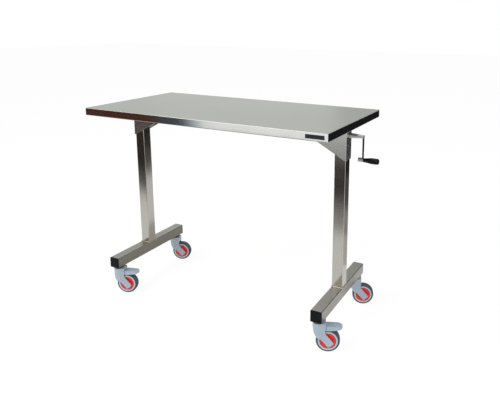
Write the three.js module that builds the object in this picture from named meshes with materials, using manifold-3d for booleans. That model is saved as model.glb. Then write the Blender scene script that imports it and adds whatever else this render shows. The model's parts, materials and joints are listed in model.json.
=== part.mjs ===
// Veterinary exam table: a stainless steel top on two telescopic columns that a hand crank raises together.
// Millimetres, +Z up, floor at Z = 0. The long edge runs along X and the crank is at the +X end.
import * as THREE from 'three';
import { RoundedBoxGeometry } from 'three/addons/geometries/RoundedBoxGeometry.js';
import { mergeVertices } from 'three/addons/utils/BufferGeometryUtils.js';
import Module from 'manifold-3d';

const wasm = await Module();
wasm.setup();

// Table top
const TOP_LENGTH = 1200;
const TOP_WIDTH = 600;
const TOP_HEIGHT = 936;
const RIM_HEIGHT = 34;
const TOP_SHEET = 1.5;
const RIM_LIP = 20;
const TOP_BEND_RADIUS = 3;

// Legs
const COLUMN_INSET = 60;
const TUBE_SIZE = 50;
const TUBE_WALL = 2;
const TUBE_CORNER = 3;
const FOOT_LENGTH = 500;
const FOOT_CLEARANCE = 141;
const CAP_THICKNESS = 6;
const CAP_PLUG_DEPTH = 18;

// Telescopic lift
const INNER_TUBE_SIZE = 40;
const INNER_TUBE_ABOVE_FOOT = 63;
const GLIDE_LENGTH = 42;
const GLIDE_FLANGE = 5;
const LIFT_STROKE = 300;
const SCREW_DIAMETER = 16;
const SCREW_TIP_ABOVE_FOOT = 12;
const NUT_DIAMETER = 31;
const NUT_LENGTH = 36;
const NUT_FLANGE_RIM = 3;
const NUT_FLANGE_HEIGHT = 12;
const POST_DIAMETER = 26;
const POST_WALL = 3;

// Brackets under the top
const BRACKET_SHEET = 2;
const BRACKET_PLATE = 3;
const BRACKET_REACH = 250;
const BRACKET_DROP = 137;
const BRACKET_TOE = 7;
const BRACKET_FLANGE = 32;
const BRACKET_CLEARANCE = 1.5;

// Mitre gear drive
const SHAFT_DROP = 32;
const SHAFT_DIAMETER = 12;
const GEAR_TEETH = 12;
const GEAR_PITCH_RADIUS = 15;
const GEAR_FACE_SHARE = 0.36;
const GEAR_ADDENDUM = 0.75;
const GEAR_DEDENDUM = 1.1;
const GEAR_TOOTH_THINNING = 0.78;
const GEAR_PRESSURE_ANGLE = THREE.MathUtils.degToRad(20);
const GEAR_HUB_LENGTH = 6;
const GEAR_HUB_DIAMETER = 21;
const HOUSING_WALL = 4;

// Hand crank
const CRANK_RADIUS = 98;
const CRANK_HUB_DIAMETER = 22;
const CRANK_HUB_END_DIAMETER = 14;
const CRANK_HUB_COLLAR = 8;
const CRANK_HUB_LENGTH = 60;
const CRANK_BORE_DEPTH = 30;
const CRANK_ARM_THICKNESS = 5;
const CRANK_ARM_WIDTH = 10;
const CRANK_ARM_END_WIDTH = 8;
const CRANK_BOSS_DIAMETER = 18;
const CRANK_BOSS_LENGTH = 17;
const GRIP_LENGTH = 65;
const GRIP_BORE_DEPTH = 45;
const GRIP_NECK_DIAMETER = 17;
const GRIP_END_DIAMETER = 25;
const SPINDLE_DIAMETER = 8;

// Casters
const WHEEL_DIAMETER = 100;
const WHEEL_WIDTH = 30;
const TYRE_SHOULDER = 6;
const TYRE_BASE_DIAMETER = 83;
const WHEEL_DISC_DIAMETER = 69;
const WHEEL_DISC_RECESS = 1.5;
const WHEEL_HUB_BORE = 8;
const WHEEL_HUB_PROUD = 1;
const WHEEL_HUB_FILLET = 3;
const WHEEL_ROOM = 3.5;
const CASTER_TRAIL = 37;
const CASTER_INSET = 37;
const CASTER_TRAIL_ANGLE = THREE.MathUtils.degToRad(22);
const CASTER_HEAD_DIAMETER = 55;
const CASTER_HEAD_DEPTH = 23;
const FORK_WIDTH = 46;
const FORK_WALL = 5;
const FORK_ARM_WIDTH = 30;
const FORK_ARM_PAST_AXLE = 22;
const FORK_END_ROUND = 6;
const FORK_THROAT_SHARE = 0.82;
const FORK_THROAT_RISE = 4;
const FORK_BACK_SHARE = 0.8;
const FORK_BACK_RISE = 8;
const FORK_SKIN = 2;
const STEM_FLANGE_DIAMETER = 34;
const STEM_FLANGE_HEIGHT = 10;
const STEM_FLANGE_CHAMFER = 2;
const STEM_PIN_DIAMETER = 15;
const STEM_PIN_FLOOR = 1;
const STEM_STUD_DIAMETER = 12;
const STEM_STUD_LENGTH = 22;
const PEDAL_LENGTH = 84;
const PEDAL_WIDTH = 39;
const PEDAL_WALL = 2;
const PEDAL_BELOW_HEAD = 13;
const PEDAL_FALL = 3;
const PEDAL_ROOT_DEPTH = 21;
const PEDAL_TIP_DEPTH = 9;
const PEDAL_SHOULDER = 2;
const PEDAL_HEEL = 5;
const PEDAL_PIVOT_DIAMETER = 6;
const PEDAL_PIVOT_INSET = 10;
const PEDAL_PIVOT_DEPTH = 8;
const PEDAL_SLOT_ROOM = 3;
const BRAKE_SHOE_LENGTH = 12;
const BRAKE_SHOE_GAP = 5.3;

// Fits, and how far a cutter or a joined piece reaches past the face that it meets
const SEAT_GAP = 0.3;
const RUNNING_GAP = 0.3;
const GLIDE_GAP = 0.3;
const OVERSHOOT = 1;

// Facets on round forms
const WHEEL_FACETS = 24;
const SHAFT_FACETS = 16;
const CORNER_FACETS = 2;
const SMALL_FACETS = 12;
const HEAD_FACETS = 24;

// Places worked out from the sizes above
const COLUMN_SPACING = TOP_LENGTH - 2 * COLUMN_INSET;
const RIM_BOTTOM = TOP_HEIGHT - RIM_HEIGHT;
const BOARD_BOTTOM = RIM_BOTTOM + TOP_SHEET + SEAT_GAP;
const FOOT_TOP = FOOT_CLEARANCE + TUBE_SIZE;
const SHAFT_HEIGHT = RIM_BOTTOM - SHAFT_DROP;
const BRACKET_TOP = BOARD_BOTTOM - SEAT_GAP;
const BRACKET_INNER_HALF = TUBE_SIZE / 2 + BRACKET_CLEARANCE;
const BRACKET_OUTER_HALF = BRACKET_INNER_HALF + BRACKET_SHEET;
const BRACKET_BOTTOM = RIM_BOTTOM - BRACKET_DROP;
const HOUSING_TOP = BRACKET_TOP - BRACKET_PLATE - SEAT_GAP;
const GEAR_BACK = GEAR_PITCH_RADIUS + GEAR_HUB_LENGTH;
const HOUSING_FLOOR = SHAFT_HEIGHT - GEAR_BACK - RUNNING_GAP;
const HOUSING_BOTTOM = HOUSING_FLOOR - HOUSING_WALL;
const HOUSING_HALF = BRACKET_INNER_HALF - SEAT_GAP;
const COLUMN_TOP = HOUSING_BOTTOM - SEAT_GAP - GLIDE_FLANGE;
const INNER_TUBE_TOP = HOUSING_BOTTOM - SEAT_GAP;
const INNER_TUBE_BOTTOM = FOOT_TOP + INNER_TUBE_ABOVE_FOOT;
const SCREW_BOTTOM = FOOT_TOP + SCREW_TIP_ABOVE_FOOT;
const NUT_BOTTOM = SCREW_BOTTOM + LIFT_STROKE;
const CRANK_HUB_START = COLUMN_SPACING / 2 + BRACKET_OUTER_HALF + SEAT_GAP;
const CRANK_ARM_START = CRANK_HUB_START + CRANK_HUB_LENGTH;
const CRANK_ARM_END = CRANK_ARM_START + CRANK_ARM_THICKNESS;
const SPINDLE_SEAT = CRANK_ARM_START - CRANK_BOSS_LENGTH / 2;
const GRIP_START = CRANK_ARM_END + RUNNING_GAP;
const GRIP_END = GRIP_START + GRIP_LENGTH;
const AXLE_HEIGHT = WHEEL_DIAMETER / 2;
const CASTER_HEAD_TOP = FOOT_CLEARANCE - STEM_FLANGE_HEIGHT;
const CASTER_HEAD_BOTTOM = CASTER_HEAD_TOP - CASTER_HEAD_DEPTH;
const FORK_INNER_HALF = FORK_WIDTH / 2 - FORK_WALL;
const CASTER_Y = FOOT_LENGTH / 2 - CASTER_INSET;
const PEDAL_PIVOT_OUT = CASTER_HEAD_DIAMETER / 2 - PEDAL_PIVOT_INSET;
const PEDAL_TOP = CASTER_HEAD_TOP - PEDAL_BELOW_HEAD;
const PEDAL_PIVOT_HEIGHT = PEDAL_TOP - PEDAL_PIVOT_DEPTH;

// Finishes
const satinSteel = { color: 0xb4b7b2, roughness: 0.38, metalness: 1 };
const brushedSteel = { color: 0xa3a39d, roughness: 0.42, metalness: 1 };
const chromeSteel = { color: 0xc9ccce, roughness: 0.15, metalness: 1 };
const darkSteel = { color: 0x5a5d60, roughness: 0.45, metalness: 1 };
const bronze = { color: 0xa9793f, roughness: 0.4, metalness: 1 };
const castAluminium = { color: 0x9a9d9f, roughness: 0.55, metalness: 1 };
const boardBrown = { color: 0x9b8260, roughness: 0.8, metalness: 0 };
const blackPlastic = { color: 0x1e242a, roughness: 0.5, metalness: 0 };
const whitePlastic = { color: 0xd8d8d2, roughness: 0.5, metalness: 0 };
const casterGrey = { color: 0xaab9c4, roughness: 0.45, metalness: 0 };
const rimGrey = { color: 0xb5ced3, roughness: 0.45, metalness: 0 };
const discRed = { color: 0xcc2028, roughness: 0.4, metalness: 0 };
const tyreGrey = { color: 0x3e4a52, roughness: 0.7, metalness: 0 };

// Keeps only positions, merges shared corners, drops empty triangles and makes the faces point out.
function closed(geometry) {
  const bare = new THREE.BufferGeometry();
  bare.setAttribute('position', geometry.getAttribute('position').clone());
  bare.setIndex(geometry.getIndex());
  const merged = mergeVertices(bare, 1e-4);
  const points = merged.getAttribute('position');
  const index = merged.getIndex().array;
  const corners = [new THREE.Vector3(), new THREE.Vector3(), new THREE.Vector3()];
  const kept = [];
  let volume = 0;
  for (let i = 0; i < index.length; i += 3) {
    const [a, b, c] = [index[i], index[i + 1], index[i + 2]];
    if (a === b || b === c || c === a) continue;
    kept.push(a, b, c);
    corners.forEach((corner, k) => corner.fromBufferAttribute(points, index[i + k]));
    volume += corners[0].dot(corners[1].clone().cross(corners[2]));
  }
  if (volume < 0) kept.reverse();
  merged.setIndex(kept);
  return merged;
}

function solid(geometry) {
  const ready = closed(geometry);
  return new wasm.Manifold(new wasm.Mesh({
    numProp: 3,
    vertProperties: new Float32Array(ready.getAttribute('position').array),
    triVerts: new Uint32Array(ready.getIndex().array),
  }));
}

function shapeOf(manifold) {
  const mesh = manifold.getMesh();
  const geometry = new THREE.BufferGeometry();
  geometry.setAttribute('position', new THREE.BufferAttribute(new Float32Array(mesh.vertProperties), 3));
  geometry.setIndex(new THREE.BufferAttribute(new Uint32Array(mesh.triVerts), 1));
  return geometry;
}

function cut(geometry, ...tools) {
  return shapeOf(tools.reduce((body, tool) => body.subtract(solid(tool)), solid(geometry)));
}

function join(geometry, ...more) {
  return shapeOf(more.reduce((body, other) => body.add(solid(other)), solid(geometry)));
}

function common(geometry, ...more) {
  return shapeOf(more.reduce((body, other) => body.intersect(solid(other)), solid(geometry)));
}

// A block given by its low and high corners.
function block(low, high) {
  const size = high.map((value, i) => value - low[i]);
  return new THREE.BoxGeometry(...size).translate(...low.map((value, i) => value + size[i] / 2));
}

// A round bar between two places on an axis through (0, 0).
function bar(axis, diameter, start, end, facets = SHAFT_FACETS) {
  const geometry = new THREE.CylinderGeometry(diameter / 2, diameter / 2, end - start, facets);
  geometry.translate(0, (start + end) / 2, 0);
  if (axis === 'x') geometry.rotateZ(-Math.PI / 2);
  if (axis === 'z') geometry.rotateX(Math.PI / 2);
  return geometry;
}

// A turned piece: the profile's points are [radius, place along the axis].
function turned(profile, facets, phase = 0) {
  const points = profile.map(([radius, along]) => new THREE.Vector2(radius, along));
  return new THREE.LatheGeometry(points, facets, phase);
}

function roundedSquare(size, radius, Path = THREE.Shape) {
  const half = size / 2;
  const straight = half - radius;
  const path = new Path();
  path.moveTo(half, -straight);
  path.lineTo(half, straight);
  path.absarc(straight, straight, radius, 0, Math.PI / 2);
  path.lineTo(-straight, half);
  path.absarc(-straight, straight, radius, Math.PI / 2, Math.PI);
  path.lineTo(-half, -straight);
  path.absarc(-straight, -straight, radius, Math.PI, 1.5 * Math.PI);
  path.lineTo(straight, -half);
  path.absarc(straight, -straight, radius, 1.5 * Math.PI, 2 * Math.PI);
  return path;
}

// A square tube, or a solid square bar where wall is 0, standing on Z from start to end.
function squareTube(size, wall, radius, start, end, facets = CORNER_FACETS) {
  const outline = roundedSquare(size, radius);
  if (wall > 0) {
    const innerRadius = Math.max(radius - wall, 0.5);
    outline.holes.push(roundedSquare(size - 2 * wall, innerRadius, THREE.Path));
  }
  const geometry = new THREE.ExtrudeGeometry(outline, {
    depth: end - start,
    bevelEnabled: false,
    curveSegments: facets,
  });
  return geometry.translate(0, 0, start);
}

// A profile in the X-Z plane, thickened along Y between two places.
function plateAcrossY(profile, start, end, curveSegments = 5) {
  const depth = end - start;
  const geometry = new THREE.ExtrudeGeometry(profile, { depth, bevelEnabled: false, curveSegments });
  return geometry.rotateX(Math.PI / 2).translate(0, end, 0);
}

const table = new THREE.Group();

function place(group, name, geometry, finish) {
  const mesh = new THREE.Mesh(closed(geometry), new THREE.MeshStandardMaterial(finish));
  mesh.name = name;
  group.add(mesh);
  return mesh;
}

// Table top: a folded steel pan whose rim turns in under a core board.
function tabletopSheet() {
  const halfLength = TOP_LENGTH / 2;
  const halfWidth = TOP_WIDTH / 2;
  const rounded = new RoundedBoxGeometry(TOP_LENGTH, TOP_WIDTH, 2 * RIM_HEIGHT, 2, TOP_BEND_RADIUS);
  rounded.translate(0, 0, RIM_BOTTOM);
  const below = block(
    [-TOP_LENGTH, -TOP_WIDTH, RIM_BOTTOM - 2 * RIM_HEIGHT],
    [TOP_LENGTH, TOP_WIDTH, RIM_BOTTOM],
  );
  const hollow = block(
    [-halfLength + TOP_SHEET, -halfWidth + TOP_SHEET, RIM_BOTTOM + TOP_SHEET],
    [halfLength - TOP_SHEET, halfWidth - TOP_SHEET, TOP_HEIGHT - TOP_SHEET],
  );
  const opening = block(
    [-halfLength + TOP_SHEET + RIM_LIP, -halfWidth + TOP_SHEET + RIM_LIP, RIM_BOTTOM - OVERSHOOT],
    [halfLength - TOP_SHEET - RIM_LIP, halfWidth - TOP_SHEET - RIM_LIP, RIM_BOTTOM + 2 * TOP_SHEET],
  );
  return cut(rounded, below, hollow, opening);
}

function coreBoard() {
  const inset = TOP_SHEET + SEAT_GAP;
  return block(
    [-TOP_LENGTH / 2 + inset, -TOP_WIDTH / 2 + inset, BOARD_BOTTOM],
    [TOP_LENGTH / 2 - inset, TOP_WIDTH / 2 - inset, TOP_HEIGHT - inset],
  );
}

// Folded bracket: two triangular cheeks, an outer web and a flanged top plate. It opens inwards and down.
function bracket(outward) {
  const wedge = (toeX, backX, top, toeBottom) => {
    const shape = new THREE.Shape();
    const inner = BRACKET_OUTER_HALF - BRACKET_REACH;
    shape.moveTo(outward * backX, top);
    shape.lineTo(outward * inner, top);
    shape.lineTo(outward * inner, BRACKET_TOP - 2 * BRACKET_PLATE);
    shape.lineTo(outward * toeX, toeBottom);
    shape.lineTo(outward * backX, toeBottom);
    shape.closePath();
    return shape;
  };
  const toe = BRACKET_OUTER_HALF - BRACKET_TOE;
  const outer = wedge(toe, BRACKET_OUTER_HALF, BRACKET_TOP, BRACKET_BOTTOM);
  const body = plateAcrossY(outer, -BRACKET_OUTER_HALF, BRACKET_OUTER_HALF);
  const hollowLow = [outward * BRACKET_INNER_HALF, -BRACKET_INNER_HALF, BRACKET_BOTTOM - OVERSHOOT];
  const hollowHigh = [-outward * BRACKET_REACH, BRACKET_INNER_HALF, BRACKET_TOP - BRACKET_PLATE];
  const hollow = block(
    hollowLow.map((value, i) => Math.min(value, hollowHigh[i])),
    hollowLow.map((value, i) => Math.max(value, hollowHigh[i])),
  );
  const flangeHalf = BRACKET_OUTER_HALF + BRACKET_FLANGE;
  const ends = [outward * BRACKET_OUTER_HALF, outward * (BRACKET_OUTER_HALF - BRACKET_REACH)];
  const flange = block(
    [Math.min(...ends), -flangeHalf, BRACKET_TOP - BRACKET_PLATE],
    [Math.max(...ends), flangeHalf, BRACKET_TOP],
  );
  const webFaces = [outward * (BRACKET_INNER_HALF - OVERSHOOT), outward * (BRACKET_OUTER_HALF + OVERSHOOT)];
  const shaftHole = bar('x', SHAFT_DIAMETER + 4 * RUNNING_GAP, Math.min(...webFaces), Math.max(...webFaces));
  shaftHole.translate(0, 0, SHAFT_HEIGHT);
  const folded = cut(body, hollow);
  return cut(join(folded, flange), shaftHole);
}

// Gear housing: a cast box, open at the top against the bracket's plate.
function gearHousing() {
  const body = squareTube(2 * HOUSING_HALF, 0, TUBE_CORNER, HOUSING_BOTTOM, HOUSING_TOP, 1);
  const hollowHalf = HOUSING_HALF - HOUSING_WALL;
  const hollow = block(
    [-hollowHalf, -hollowHalf, HOUSING_FLOOR],
    [hollowHalf, hollowHalf, HOUSING_TOP + OVERSHOOT],
  );
  const screwBore = SCREW_DIAMETER + 2 * RUNNING_GAP;
  const screwHole = bar('z', screwBore, HOUSING_BOTTOM - OVERSHOOT, HOUSING_FLOOR + OVERSHOOT);
  const shaftEnd = HOUSING_HALF + OVERSHOOT;
  const shaftHole = bar('x', SHAFT_DIAMETER + 2 * RUNNING_GAP, -shaftEnd, shaftEnd);
  shaftHole.translate(0, 0, SHAFT_HEIGHT);
  return cut(body, hollow, screwHole, shaftHole);
}

// Half the angle that a tooth fills at one radius of its developed back cone.
function toothHalfAngle(radius, pitch) {
  const base = pitch * Math.cos(GEAR_PRESSURE_ANGLE);
  const involute = (angle) => Math.tan(angle) - angle;
  const angle = Math.acos(Math.min(base / radius, 1));
  const atPitch = (Math.PI * Math.SQRT1_2) / (2 * GEAR_TEETH);
  return atPitch * GEAR_TOOTH_THINNING + involute(GEAR_PRESSURE_ANGLE) - involute(angle);
}

// Mitre gear on +Z with its cone's tip at the origin. Every flank runs to that tip.
function mitreGear(boreDiameter, turn) {
  const module = (2 * GEAR_PITCH_RADIUS) / GEAR_TEETH;
  const pitch = GEAR_PITCH_RADIUS * Math.SQRT2;
  const radii = [pitch - GEAR_DEDENDUM * module, pitch, pitch + GEAR_ADDENDUM * module];
  const outline = new THREE.Shape();
  for (let i = 0; i < GEAR_TEETH; i += 1) {
    const middle = turn + (2 * Math.PI * i) / GEAR_TEETH;
    const flank = (side) => radii.map((radius) => {
      const along = 2 * GEAR_PITCH_RADIUS - radius * Math.SQRT1_2;
      const across = (radius * Math.SQRT1_2 * GEAR_PITCH_RADIUS) / along;
      const angle = middle + side * toothHalfAngle(radius, pitch) * Math.SQRT2;
      return [across * Math.cos(angle), across * Math.sin(angle)];
    });
    const corners = [...flank(-1), ...flank(1).reverse()];
    corners.forEach(([x, y], k) => (i + k === 0 ? outline.moveTo(x, y) : outline.lineTo(x, y)));
  }
  outline.closePath();
  const face = GEAR_FACE_SHARE * GEAR_PITCH_RADIUS;
  const teeth = new THREE.ExtrudeGeometry(outline, { depth: face, bevelEnabled: false });
  const points = teeth.getAttribute('position');
  for (let i = 0; i < points.count; i += 1) {
    const along = GEAR_PITCH_RADIUS - face + points.getZ(i);
    const share = along / GEAR_PITCH_RADIUS;
    points.setXYZ(i, points.getX(i) * share, points.getY(i) * share, along);
  }
  const hub = bar('z', GEAR_HUB_DIAMETER, GEAR_PITCH_RADIUS - OVERSHOOT, GEAR_BACK, SMALL_FACETS);
  const bore = bar('z', boreDiameter, 0, GEAR_BACK + OVERSHOOT, SMALL_FACETS);
  return cut(join(teeth, hub), bore);
}

// Foot: a square tube along Y with a hole in its underside for each caster's stud.
function footTube() {
  const half = FOOT_LENGTH / 2 - CAP_THICKNESS;
  const tube = squareTube(TUBE_SIZE, TUBE_WALL, TUBE_CORNER, -half, half);
  tube.rotateX(Math.PI / 2).translate(0, 0, FOOT_CLEARANCE + TUBE_SIZE / 2);
  const holeEnds = [FOOT_CLEARANCE - OVERSHOOT, FOOT_CLEARANCE + TUBE_WALL + OVERSHOOT];
  const hole = (y) => bar('z', STEM_STUD_DIAMETER + 2 * SEAT_GAP, ...holeEnds).translate(0, y, 0);
  return cut(tube, hole(CASTER_Y), hole(-CASTER_Y));
}

// End cap of the foot, for the end that faces -Y: a square cover on a hollow plug.
function footCap() {
  const cover = new RoundedBoxGeometry(TUBE_SIZE, 2 * CAP_THICKNESS, TUBE_SIZE, 1, TUBE_CORNER);
  const inside = block([-TUBE_SIZE, SEAT_GAP / 2, -TUBE_SIZE], [TUBE_SIZE, TUBE_SIZE, TUBE_SIZE]);
  const plugSize = TUBE_SIZE - 2 * TUBE_WALL - 2 * SEAT_GAP;
  const plug = squareTube(plugSize, TUBE_WALL, TUBE_CORNER, 0, CAP_PLUG_DEPTH, 1);
  plug.rotateX(-Math.PI / 2);
  return join(cut(cover, inside.translate(0, -SEAT_GAP, 0)), plug.translate(0, -SEAT_GAP, 0));
}

// Upper glide: a flanged plastic sleeve in the mouth of the column.
function upperGlide() {
  const outer = TUBE_SIZE - 2 * TUBE_WALL - 2 * SEAT_GAP;
  const inner = INNER_TUBE_SIZE + 2 * GLIDE_GAP;
  const sleeveWall = (outer - inner) / 2;
  const flangeWall = (TUBE_SIZE - inner) / 2;
  const seat = COLUMN_TOP + SEAT_GAP;
  const sleeve = squareTube(outer, sleeveWall, TUBE_CORNER, COLUMN_TOP - GLIDE_LENGTH, seat + OVERSHOOT, 1);
  const flange = squareTube(TUBE_SIZE, flangeWall, TUBE_CORNER, seat, COLUMN_TOP + GLIDE_FLANGE, 1);
  return join(sleeve, flange);
}

// Lower glide: a plastic shoe round the foot of the inner tube, with a lip under it.
function lowerGlide() {
  const outer = TUBE_SIZE - 2 * TUBE_WALL - 2 * GLIDE_GAP;
  const sleeveWall = (outer - INNER_TUBE_SIZE) / 2 - SEAT_GAP;
  const lipWall = (outer - INNER_TUBE_SIZE) / 2 + TUBE_WALL;
  const start = INNER_TUBE_BOTTOM - GLIDE_FLANGE;
  const sleeve = squareTube(outer, sleeveWall, TUBE_CORNER, start, INNER_TUBE_BOTTOM + GLIDE_LENGTH, 1);
  const lip = squareTube(outer, lipWall, TUBE_CORNER, start, INNER_TUBE_BOTTOM - SEAT_GAP, 1);
  return join(sleeve, lip);
}

function nutPost() {
  const radius = POST_DIAMETER / 2;
  const start = FOOT_TOP + SEAT_GAP;
  const end = NUT_BOTTOM - SEAT_GAP;
  const bore = radius - POST_WALL;
  return turned([[bore, start], [radius, start], [radius, end], [bore, end], [bore, start]], SHAFT_FACETS)
    .rotateX(Math.PI / 2);
}

function liftNut() {
  const bore = SCREW_DIAMETER / 2 + RUNNING_GAP;
  const radius = NUT_DIAMETER / 2;
  const end = NUT_BOTTOM + NUT_LENGTH;
  const neck = radius - NUT_FLANGE_RIM;
  const step = NUT_BOTTOM + NUT_FLANGE_HEIGHT;
  return turned([
    [bore, NUT_BOTTOM], [radius, NUT_BOTTOM], [radius, step],
    [neck, step], [neck, end], [bore, end], [bore, NUT_BOTTOM],
  ], SHAFT_FACETS).rotateX(Math.PI / 2);
}

function leg(side, outward) {
  const group = new THREE.Group();
  group.position.x = (outward * COLUMN_SPACING) / 2;
  table.add(group);
  place(group, `${side}_foot_tube`, footTube(), brushedSteel);
  for (const [end, facing] of [['front', 0], ['rear', Math.PI]]) {
    const cap = place(group, `${side}_foot_cap_${end}`, footCap(), blackPlastic);
    const y = FOOT_LENGTH / 2 - CAP_THICKNESS;
    cap.position.set(0, end === 'front' ? -y : y, FOOT_CLEARANCE + TUBE_SIZE / 2);
    cap.rotation.z = facing;
  }
  const column = squareTube(TUBE_SIZE, TUBE_WALL, TUBE_CORNER, FOOT_TOP + SEAT_GAP, COLUMN_TOP);
  place(group, `${side}_column_tube`, column, brushedSteel);
  place(group, `${side}_upper_glide`, upperGlide(), whitePlastic);
  place(group, `${side}_nut_post`, nutPost(), darkSteel);
  place(group, `${side}_lift_nut`, liftNut(), bronze);
  const inner = squareTube(INNER_TUBE_SIZE, TUBE_WALL, TUBE_CORNER, INNER_TUBE_BOTTOM, INNER_TUBE_TOP);
  place(group, `${side}_inner_tube`, inner, brushedSteel);
  place(group, `${side}_lower_glide`, lowerGlide(), whitePlastic);
  place(group, `${side}_bracket`, bracket(outward), satinSteel);
  place(group, `${side}_gear_housing`, gearHousing(), castAluminium);
  const gearPlace = [0, 0, SHAFT_HEIGHT];
  const screwTop = SHAFT_HEIGHT - GEAR_PITCH_RADIUS;
  place(group, `${side}_lift_screw`, bar('z', SCREW_DIAMETER, SCREW_BOTTOM, screwTop), chromeSteel);
  const screwGear = mitreGear(SCREW_DIAMETER + 2 * SEAT_GAP, 0).rotateX(Math.PI);
  place(group, `${side}_screw_gear`, screwGear.translate(...gearPlace), darkSteel);
  const shaftGear = mitreGear(SHAFT_DIAMETER + 2 * SEAT_GAP, Math.PI / GEAR_TEETH).rotateY(Math.PI / 2);
  place(group, `${side}_shaft_gear`, shaftGear.translate(...gearPlace), darkSteel);
}

// Crank: a hub that tapers away from the shaft, a slim arm hanging down and a boss for the grip's spindle.
function crankArm() {
  const root = CRANK_HUB_DIAMETER / 2;
  const neck = CRANK_HUB_END_DIAMETER / 2;
  const length = CRANK_ARM_END - CRANK_HUB_START;
  const profile = [[0, 0], [root, 0], [root, CRANK_HUB_COLLAR], [neck, length], [0, length]];
  const hub = turned(profile, SHAFT_FACETS);
  hub.rotateZ(-Math.PI / 2).translate(CRANK_HUB_START, 0, 0);
  const boss = bar('x', CRANK_BOSS_DIAMETER, CRANK_ARM_START - CRANK_BOSS_LENGTH, CRANK_ARM_END);
  boss.translate(0, 0, -CRANK_RADIUS);
  const top = CRANK_ARM_WIDTH / 2;
  const foot = CRANK_ARM_END_WIDTH / 2;
  const outline = new THREE.Shape();
  outline.moveTo(top, 0);
  outline.lineTo(-top, 0);
  outline.lineTo(-foot, -CRANK_RADIUS);
  outline.lineTo(foot, -CRANK_RADIUS);
  outline.closePath();
  const arm = new THREE.ExtrudeGeometry(outline, { depth: CRANK_ARM_THICKNESS, bevelEnabled: false });
  arm.rotateX(Math.PI / 2).rotateZ(Math.PI / 2).translate(CRANK_ARM_START, 0, 0);
  const boreEnd = CRANK_HUB_START + CRANK_BORE_DEPTH;
  const shaftBore = bar('x', SHAFT_DIAMETER + 2 * SEAT_GAP, CRANK_HUB_START - OVERSHOOT, boreEnd);
  const spindleBore = bar('x', SPINDLE_DIAMETER + 2 * SEAT_GAP, SPINDLE_SEAT, GRIP_START);
  spindleBore.translate(0, 0, -CRANK_RADIUS);
  return cut(join(arm, hub, boss), shaftBore, spindleBore);
}

// Grip: slim at the neck, fullest near its domed end, bored for the spindle.
function grip() {
  const bore = SPINDLE_DIAMETER / 2 + RUNNING_GAP;
  const neck = GRIP_NECK_DIAMETER / 2;
  const swell = (GRIP_END_DIAMETER - GRIP_NECK_DIAMETER) / 2;
  const station = (fullness, along) => [neck + fullness * swell, along * GRIP_LENGTH];
  const end = neck + swell;
  return turned([
    [bore, 0], station(0, 0), station(0.05, 0.1), station(0.3, 0.42), station(0.85, 0.75), station(1, 0.88),
    [0.86 * end, 0.96 * GRIP_LENGTH], [0.5 * end, GRIP_LENGTH], [0, GRIP_LENGTH],
    [0, GRIP_BORE_DEPTH], [bore, GRIP_BORE_DEPTH], [bore, 0],
  ], SHAFT_FACETS).rotateZ(-Math.PI / 2);
}

function drive() {
  const group = new THREE.Group();
  group.position.z = SHAFT_HEIGHT;
  table.add(group);
  const shaftStart = -COLUMN_SPACING / 2 - HOUSING_HALF;
  const shaft = bar('x', SHAFT_DIAMETER, shaftStart, CRANK_HUB_START + CRANK_BORE_DEPTH - SEAT_GAP);
  place(group, 'cross_shaft', shaft, chromeSteel);
  place(group, 'crank_arm', crankArm(), chromeSteel);
  const spindleEnd = GRIP_START + GRIP_BORE_DEPTH - RUNNING_GAP;
  const spindle = bar('x', SPINDLE_DIAMETER, SPINDLE_SEAT + SEAT_GAP, spindleEnd);
  place(group, 'grip_spindle', spindle.translate(0, 0, -CRANK_RADIUS), chromeSteel);
  place(group, 'crank_grip', grip().translate(GRIP_START, 0, -CRANK_RADIUS), blackPlastic);
}

// Caster pieces, drawn with the stem on Z, the wheel trailing towards +X and its axle along Y.
function casterStem() {
  const stud = STEM_STUD_DIAMETER / 2;
  const flange = STEM_FLANGE_DIAMETER / 2;
  const pin = STEM_PIN_DIAMETER / 2 - RUNNING_GAP;
  const top = FOOT_CLEARANCE - SEAT_GAP;
  const seat = CASTER_HEAD_TOP + RUNNING_GAP;
  const tip = CASTER_HEAD_BOTTOM + STEM_PIN_FLOOR + 2 * RUNNING_GAP;
  const chamfer = STEM_FLANGE_CHAMFER;
  return turned([
    [0, tip], [pin, tip], [pin, seat], [flange - chamfer, seat], [flange, seat + chamfer],
    [flange, top], [stud, top], [stud, top + STEM_STUD_LENGTH], [0, top + STEM_STUD_LENGTH],
  ], SMALL_FACETS).rotateX(Math.PI / 2);
}

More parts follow.
